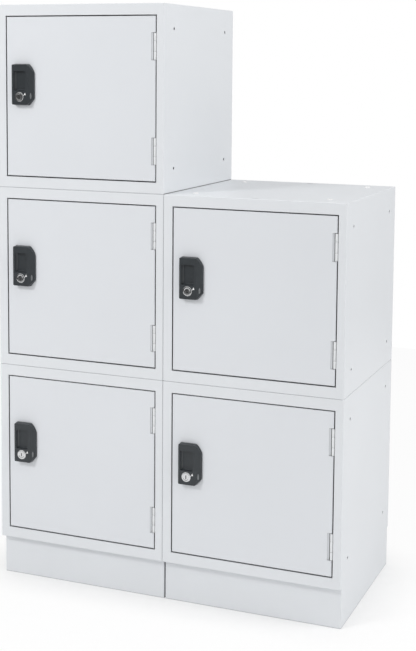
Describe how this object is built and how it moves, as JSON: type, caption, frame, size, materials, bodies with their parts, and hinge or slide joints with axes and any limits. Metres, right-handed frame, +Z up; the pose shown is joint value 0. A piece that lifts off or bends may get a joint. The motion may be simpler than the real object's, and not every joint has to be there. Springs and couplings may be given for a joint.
{
  "type": "cube locker",
  "caption": "Bank of sheet-steel cube lockers on plinths, a tall column beside a lower one, with hinged doors, finger-pull lock plates and cam locks.",
  "frame": {"origin": "centre of the footprint of the whole bank, on the floor", "axes": "+X to the right seen from the front, +Y from the doors to the back, +Z up"},
  "size_m": [0.8, 0.4136, 1.2896],
  "materials": {
    "body_paint": "light grey powder coat, fine texture, satin",
    "door_paint": "light grey powder coat, smooth satin",
    "hinge_steel": "light grey powder coat over steel knuckles",
    "zinc_steel": "bright zinc plate",
    "lock_chrome": "satin nickel plate",
    "black_plastic": "anthracite moulded plastic, fine grain",
    "white_plastic": "white moulded plastic"
  },
  "bodies": {
    "frame": {"left_top_case": "body_paint", "left_top_back_panel": "body_paint", "left_top_hinge_frame_leaves": "hinge_steel", "left_top_hinge_pins": "zinc_steel", "left_middle_case": "body_paint", "left_middle_back_panel": "body_paint", "left_middle_hinge_frame_leaves": "hinge_steel", "left_middle_hinge_pins": "zinc_steel", "left_bottom_case": "body_paint", "left_bottom_back_panel": "body_paint", "left_bottom_hinge_frame_leaves": "hinge_steel", "left_bottom_hinge_pins": "zinc_steel", "right_top_case": "body_paint", "right_top_back_panel": "body_paint", "right_top_hinge_frame_leaves": "hinge_steel", "right_top_hinge_pins": "zinc_steel", "right_bottom_case": "body_paint", "right_bottom_back_panel": "body_paint", "right_bottom_hinge_frame_leaves": "hinge_steel", "right_bottom_hinge_pins": "zinc_steel", "left_plinth": "body_paint", "right_plinth": "body_paint", "joining_bolts": "zinc_steel", "joining_nuts": "zinc_steel", "top_plugs": "white_plastic"},
    "left_top_door": {"left_top_door": "door_paint", "left_top_hinge_door_leaves": "hinge_steel", "left_top_lock_plate": "black_plastic", "left_top_lock_barrel": "lock_chrome", "left_top_lock_fixings": "zinc_steel"},
    "left_top_key_core": {"left_top_lock_plug": "lock_chrome", "left_top_lock_cam": "zinc_steel"},
    "left_middle_door": {"left_middle_door": "door_paint", "left_middle_hinge_door_leaves": "hinge_steel", "left_middle_lock_plate": "black_plastic", "left_middle_lock_barrel": "lock_chrome", "left_middle_lock_fixings": "zinc_steel"},
    "left_middle_key_core": {"left_middle_lock_plug": "lock_chrome", "left_middle_lock_cam": "zinc_steel"},
    "left_bottom_door": {"left_bottom_door": "door_paint", "left_bottom_hinge_door_leaves": "hinge_steel", "left_bottom_lock_plate": "black_plastic", "left_bottom_lock_barrel": "lock_chrome", "left_bottom_lock_fixings": "zinc_steel"},
    "left_bottom_key_core": {"left_bottom_lock_plug": "lock_chrome", "left_bottom_lock_cam": "zinc_steel"},
    "right_top_door": {"right_top_door": "door_paint", "right_top_hinge_door_leaves": "hinge_steel", "right_top_lock_plate": "black_plastic", "right_top_lock_barrel": "lock_chrome", "right_top_lock_fixings": "zinc_steel"},
    "right_top_key_core": {"right_top_lock_plug": "lock_chrome", "right_top_lock_cam": "zinc_steel"},
    "right_bottom_door": {"right_bottom_door": "door_paint", "right_bottom_hinge_door_leaves": "hinge_steel", "right_bottom_lock_plate": "black_plastic", "right_bottom_lock_barrel": "lock_chrome", "right_bottom_lock_fixings": "zinc_steel"},
    "right_bottom_key_core": {"right_bottom_lock_plug": "lock_chrome", "right_bottom_lock_cam": "zinc_steel"}
  },
  "joints": [
    {"name": "left_top_door_hinge", "type": "hinge", "parent": "frame", "child": "left_top_door", "pos_m": [-0.0207, -0.191, 1.088], "axis": [0, 0, 1], "range_deg": [0, 110]},
    {"name": "left_top_lock_turn", "type": "hinge", "parent": "left_top_door", "child": "left_top_key_core", "pos_m": [-0.3395, -0.1932, 1.088], "axis": [0, 1, 0], "range_deg": [0, 90]},
    {"name": "left_middle_door_hinge", "type": "hinge", "parent": "frame", "child": "left_middle_door", "pos_m": [-0.0207, -0.191, 0.688], "axis": [0, 0, 1], "range_deg": [0, 110]},
    {"name": "left_middle_lock_turn", "type": "hinge", "parent": "left_middle_door", "child": "left_middle_key_core", "pos_m": [-0.3395, -0.1932, 0.688], "axis": [0, 1, 0], "range_deg": [0, 90]},
    {"name": "left_bottom_door_hinge", "type": "hinge", "parent": "frame", "child": "left_bottom_door", "pos_m": [-0.0207, -0.191, 0.288], "axis": [0, 0, 1], "range_deg": [0, 110]},
    {"name": "left_bottom_lock_turn", "type": "hinge", "parent": "left_bottom_door", "child": "left_bottom_key_core", "pos_m": [-0.3395, -0.1932, 0.288], "axis": [0, 1, 0], "range_deg": [0, 90]},
    {"name": "right_top_door_hinge", "type": "hinge", "parent": "frame", "child": "right_top_door", "pos_m": [0.3793, -0.191, 0.688], "axis": [0, 0, 1], "range_deg": [0, 110]},
    {"name": "right_top_lock_turn", "type": "hinge", "parent": "right_top_door", "child": "right_top_key_core", "pos_m": [0.0605, -0.1932, 0.688], "axis": [0, 1, 0], "range_deg": [0, 90]},
    {"name": "right_bottom_door_hinge", "type": "hinge", "parent": "frame", "child": "right_bottom_door", "pos_m": [0.3793, -0.191, 0.288], "axis": [0, 0, 1], "range_deg": [0, 110]},
    {"name": "right_bottom_lock_turn", "type": "hinge", "parent": "right_bottom_door", "child": "right_bottom_key_core", "pos_m": [0.0605, -0.1932, 0.288], "axis": [0, 1, 0], "range_deg": [0, 90]}
  ]
}
